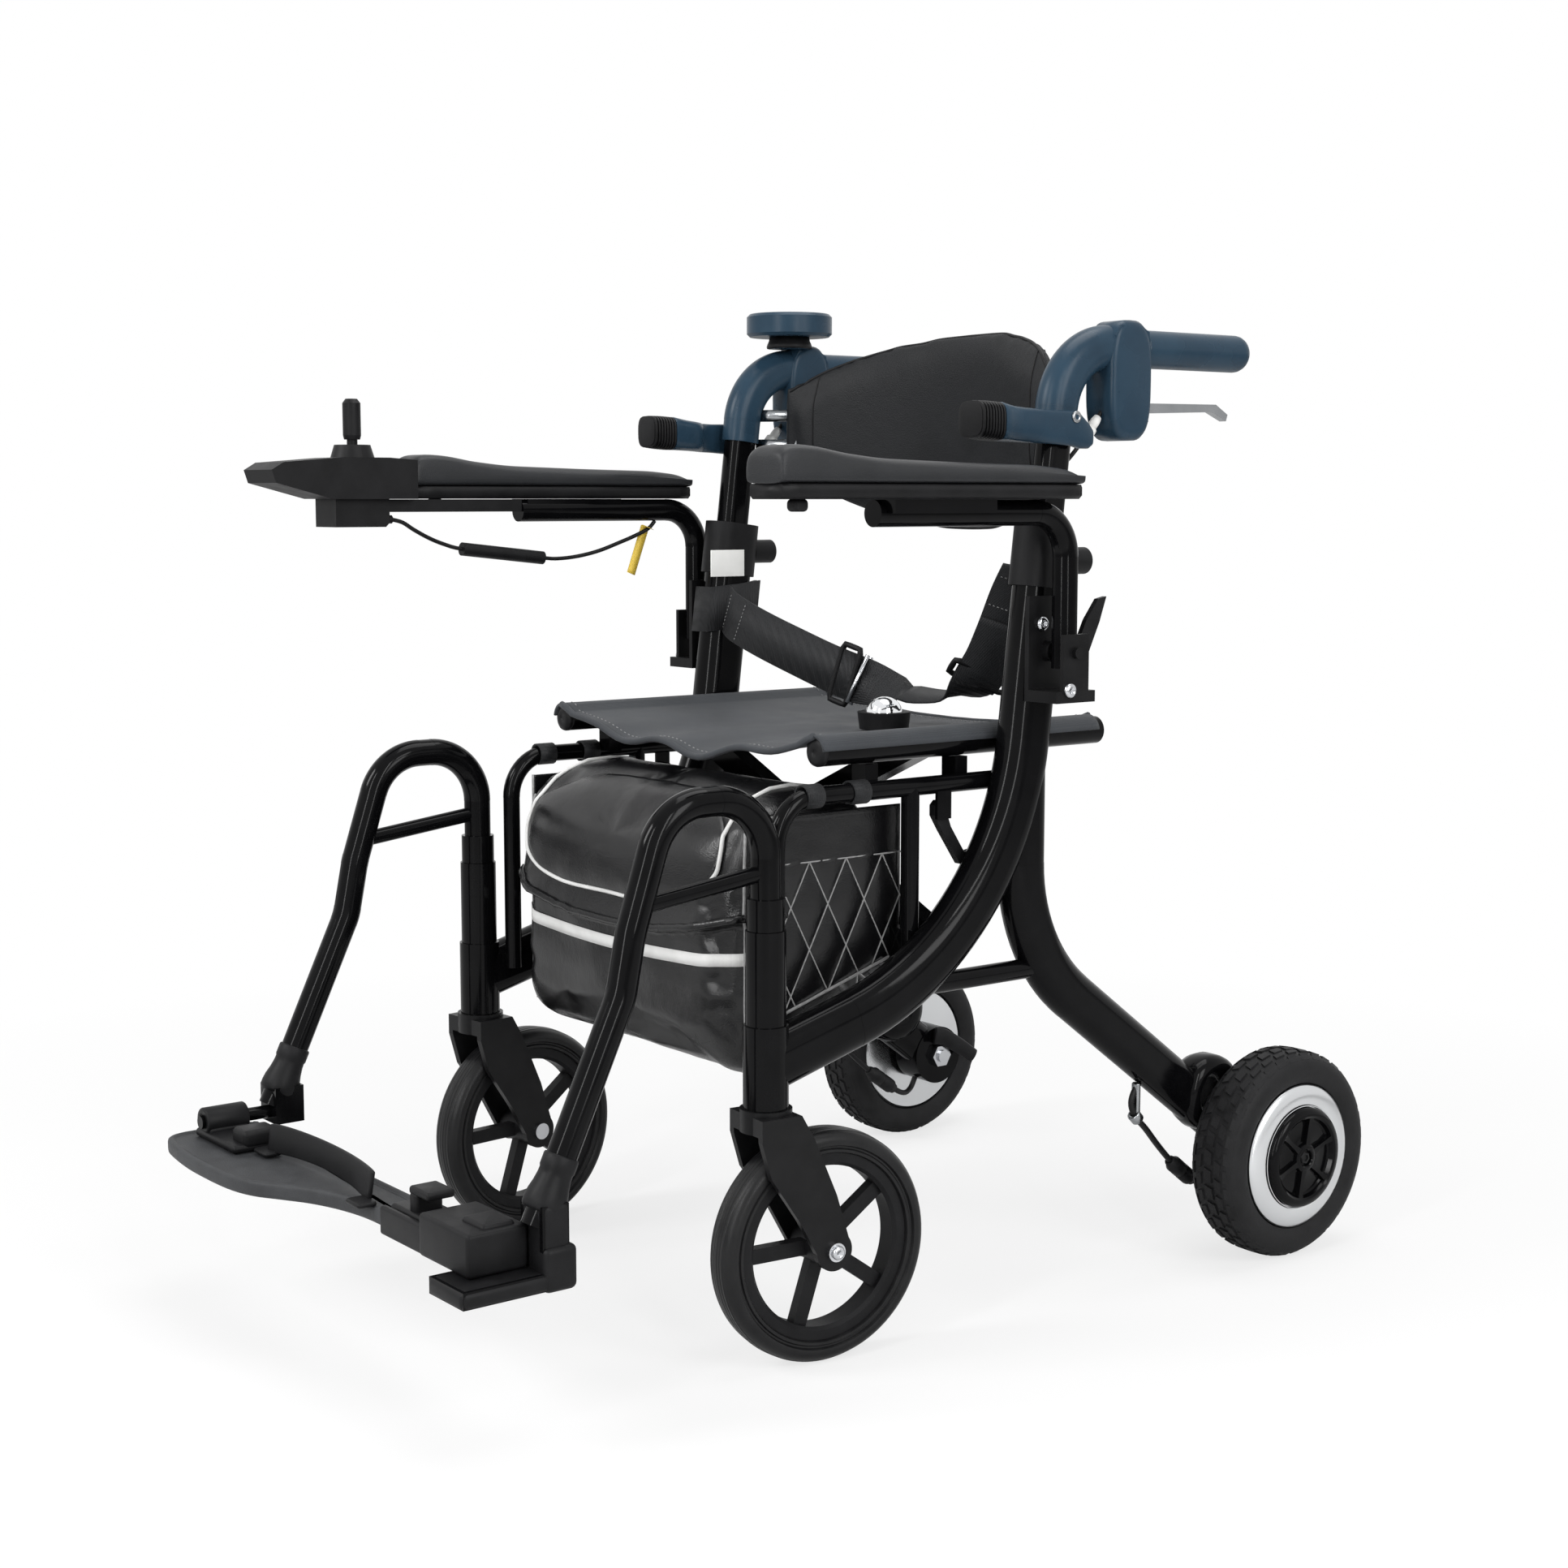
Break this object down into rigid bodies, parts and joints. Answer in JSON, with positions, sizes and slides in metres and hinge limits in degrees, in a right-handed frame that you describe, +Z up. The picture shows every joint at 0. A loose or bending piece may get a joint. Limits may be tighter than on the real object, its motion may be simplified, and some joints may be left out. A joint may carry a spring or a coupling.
{
  "type": "rollator transport chair",
  "caption": "Folding powered rollator with a sling seat, flip-up armrests, joystick, under-seat bag, swing-away footrests and rear hub-motor wheels.",
  "frame": {"origin": "on the floor, under the middle of the footprint", "axes": "front of the chair faces -Y, +X is the occupant's left, +Z is up"},
  "size_m": [0.636, 1.008, 0.9098],
  "materials": {
    "frame_black": "gloss black paint",
    "moulded_black": "black moulded plastic",
    "tyre": "black rubber",
    "motor_silver": "satin silver",
    "steel": "bright steel",
    "handle_blue": "blue moulded plastic",
    "pad": "charcoal moulded pad",
    "sling": "dark grey woven nylon",
    "bag": "black coated fabric",
    "belt": "black webbing",
    "plate": "grey moulded plastic",
    "lead": "black cable",
    "battery": "dark plastic case",
    "chrome": "chrome"
  },
  "bodies": {
    "right_frame": {"right_side_frame": "frame_black", "right_height_collar": "moulded_black", "right_arm_bracket": "frame_black", "right_motor_axle": "steel", "right_motor_lead": "lead", "storage_bag": "bag", "battery_pack": "battery", "lap_belt": "belt"},
    "front_brace": {"front_brace": "frame_black"},
    "rear_brace": {"rear_brace": "frame_black"},
    "left_frame": {"left_side_frame": "frame_black", "left_height_collar": "moulded_black", "left_arm_bracket": "frame_black", "left_motor_axle": "steel", "left_motor_lead": "lead"},
    "seat_cloth": {"seat_sling": "sling"},
    "belt_buckle": {"belt_buckle": "moulded_black"},
    "buckle_button": {"buckle_button": "chrome"},
    "fold_latch": {"fold_latch": "moulded_black"},
    "right_caster": {"right_caster_fork": "frame_black", "right_front_axle": "steel"},
    "right_front_wheel": {"right_front_rim": "moulded_black", "right_front_tyre": "tyre"},
    "right_rear_wheel": {"right_motor_shell": "motor_silver", "right_hub_cap": "moulded_black", "right_rear_tyre": "tyre"},
    "right_hanger": {"right_hanger": "frame_black"},
    "right_arm": {"right_arm_tube": "frame_black", "right_arm_pad": "pad", "joystick_housing": "moulded_black", "joystick_lead": "lead", "lead_barrel": "lead"},
    "right_arm_latch": {"right_arm_latch": "moulded_black"},
    "right_handle": {"right_handle_tube": "frame_black", "right_handle_arc": "handle_blue", "right_grip": "handle_blue", "backrest_pad": "pad"},
    "right_brake_lever": {"right_brake_lever": "steel"},
    "right_lock_lever": {"right_lock_lever": "handle_blue"},
    "left_caster": {"left_caster_fork": "frame_black", "left_front_axle": "steel"},
    "left_front_wheel": {"left_front_rim": "moulded_black", "left_front_tyre": "tyre"},
    "left_rear_wheel": {"left_motor_shell": "motor_silver", "left_hub_cap": "moulded_black", "left_rear_tyre": "tyre"},
    "left_hanger": {"left_hanger": "frame_black"},
    "left_arm": {"left_arm_tube": "frame_black", "left_arm_pad": "pad"},
    "left_arm_latch": {"left_arm_latch": "moulded_black"},
    "left_handle": {"left_handle_tube": "frame_black", "left_handle_arc": "handle_blue", "left_grip": "handle_blue"},
    "left_brake_lever": {"left_brake_lever": "steel"},
    "left_lock_lever": {"left_lock_lever": "handle_blue"},
    "footplate": {"footplate": "plate", "foot_strap": "moulded_black"},
    "joystick_gimbal": {"joystick_gimbal": "steel"},
    "joystick_stick": {"joystick_stick": "moulded_black"},
    "palm_knob": {"palm_knob": "handle_blue"}
  },
  "joints": [
    {"name": "fold", "type": "hinge", "parent": "right_frame", "child": "front_brace", "pos_m": [-0.198, 0.018, 0.335], "axis": [0, -1, 0], "range_deg": [0, 50], "deforming": ["seat_sling", "backrest_pad", "storage_bag", "lap_belt"]},
    {"name": "brace_cross", "type": "hinge", "parent": "front_brace", "child": "rear_brace", "pos_m": [0, 0.029, 0.4225], "axis": [0, -1, 0], "range_deg": [-100, 0]},
    {"name": "frame_fold", "type": "hinge", "parent": "rear_brace", "child": "left_frame", "pos_m": [0.198, 0.04, 0.335], "axis": [0, -1, 0], "range_deg": [0, 50]},
    {"name": "seat_rise", "type": "slide", "parent": "right_frame", "child": "seat_cloth", "axis": [0, 0, 1], "range_m": [0, 0.24084]},
    {"name": "buckle_shift", "type": "slide", "parent": "right_frame", "child": "belt_buckle", "axis": [-1, 0, 0], "range_m": [0, 0.1795]},
    {"name": "buckle_press", "type": "slide", "parent": "belt_buckle", "child": "buckle_button", "axis": [0, 0, -1], "range_m": [0, 0.0025], "stiffness_N_per_m": 800},
    {"name": "fold_latch_turn", "type": "hinge", "parent": "left_frame", "child": "fold_latch", "pos_m": [0.211, 0.031, 0.453], "axis": [1, 0, 0], "range_deg": [0, 30]},
    {"name": "right_caster_swivel", "type": "hinge", "parent": "right_frame", "child": "right_caster", "pos_m": [-0.232, -0.175, 0.224], "axis": [0, 0, 1], "continuous": true},
    {"name": "right_front_spin", "type": "hinge", "parent": "right_caster", "child": "right_front_wheel", "pos_m": [-0.23733, -0.12428, 0.1], "axis": [0.9945, 0.1045, 0], "continuous": true},
    {"name": "right_rear_spin", "type": "hinge", "parent": "right_frame", "child": "right_rear_wheel", "pos_m": [-0.281, 0.404, 0.1], "axis": [1, 0, 0], "continuous": true},
    {"name": "right_hanger_swing", "type": "hinge", "parent": "right_frame", "child": "right_hanger", "pos_m": [-0.232, -0.175, 0.33], "axis": [0, 0, -1], "range_deg": [0, 90]},
    {"name": "right_arm_flip", "type": "hinge", "parent": "right_frame", "child": "right_arm", "pos_m": [-0.275, 0.116, 0.59], "axis": [-1, 0, 0], "range_deg": [0, 90]},
    {"name": "right_arm_latch_pull", "type": "hinge", "parent": "right_frame", "child": "right_arm_latch", "pos_m": [-0.258, 0.153, 0.592], "axis": [-1, 0, 0], "range_deg": [0, 25], "stiffness_Nm_per_rad": 0.6},
    {"name": "right_handle_slide", "type": "slide", "parent": "right_frame", "child": "right_handle", "axis": [0, 0.1219, 0.9925], "range_m": [0, 0.1]},
    {"name": "right_brake_squeeze", "type": "hinge", "parent": "right_handle", "child": "right_brake_lever", "pos_m": [-0.232, 0.2295, 0.802], "axis": [1, 0, 0], "range_deg": [0, 10], "stiffness_Nm_per_rad": 3},
    {"name": "right_lock_push", "type": "hinge", "parent": "right_handle", "child": "right_lock_lever", "pos_m": [-0.254, 0.14146, 0.792], "axis": [1, 0, 0], "range_deg": [0, 30]},
    {"name": "left_caster_swivel", "type": "hinge", "parent": "left_frame", "child": "left_caster", "pos_m": [0.232, -0.175, 0.224], "axis": [0, 0, 1], "continuous": true},
    {"name": "left_front_spin", "type": "hinge", "parent": "left_caster", "child": "left_front_wheel", "pos_m": [0.23733, -0.12428, 0.1], "axis": [0.9945, -0.1045, 0], "continuous": true},
    {"name": "left_rear_spin", "type": "hinge", "parent": "left_frame", "child": "left_rear_wheel", "pos_m": [0.281, 0.404, 0.1], "axis": [1, 0, 0], "continuous": true},
    {"name": "left_hanger_swing", "type": "hinge", "parent": "left_frame", "child": "left_hanger", "pos_m": [0.232, -0.175, 0.33], "axis": [0, 0, 1], "range_deg": [0, 90]},
    {"name": "left_arm_flip", "type": "hinge", "parent": "left_frame", "child": "left_arm", "pos_m": [0.275, 0.116, 0.59], "axis": [-1, 0, 0], "range_deg": [0, 90]},
    {"name": "left_arm_latch_pull", "type": "hinge", "parent": "left_frame", "child": "left_arm_latch", "pos_m": [0.258, 0.153, 0.592], "axis": [-1, 0, 0], "range_deg": [0, 25], "stiffness_Nm_per_rad": 0.6},
    {"name": "left_handle_slide", "type": "slide", "parent": "left_frame", "child": "left_handle", "axis": [0, 0.1219, 0.9925], "range_m": [0, 0.1]},
    {"name": "left_brake_squeeze", "type": "hinge", "parent": "left_handle", "child": "left_brake_lever", "pos_m": [0.232, 0.2295, 0.802], "axis": [1, 0, 0], "range_deg": [0, 10], "stiffness_Nm_per_rad": 3},
    {"name": "left_lock_push", "type": "hinge", "parent": "left_handle", "child": "left_lock_lever", "pos_m": [0.254, 0.14146, 0.792], "axis": [1, 0, 0], "range_deg": [0, 30]},
    {"name": "plate_flip", "type": "hinge", "parent": "right_hanger", "child": "footplate", "pos_m": [-0.232, -0.445, 0.16], "axis": [0, -1, 0], "range_deg": [0, 90]},
    {"name": "joystick_pitch", "type": "hinge", "parent": "right_arm", "child": "joystick_gimbal", "pos_m": [-0.287, -0.2723, 0.748], "axis": [1, 0, 0], "range_deg": [-14, 14], "stiffness_Nm_per_rad": 0.6},
    {"name": "joystick_roll", "type": "hinge", "parent": "joystick_gimbal", "child": "joystick_stick", "pos_m": [-0.287, -0.2723, 0.748], "axis": [0, 1, 0], "range_deg": [-14, 14], "stiffness_Nm_per_rad": 0.6},
    {"name": "palm_knob_turn", "type": "hinge", "parent": "right_handle", "child": "palm_knob", "pos_m": [-0.216, 0.19351, 0.89], "axis": [0, 0, 1], "continuous": true}
  ],
  "couplings": [
    {"joint": "brace_cross", "follows": "fold", "ratio": -2},
    {"joint": "frame_fold", "follows": "fold", "ratio": 1},
    {"joint": "seat_rise", "follows": "fold", "m_per_rad": 0.27598},
    {"joint": "buckle_shift", "follows": "fold", "m_per_rad": 0.20569},
    {"joint": "left_handle_slide", "follows": "right_handle_slide", "ratio": 1}
  ]
}
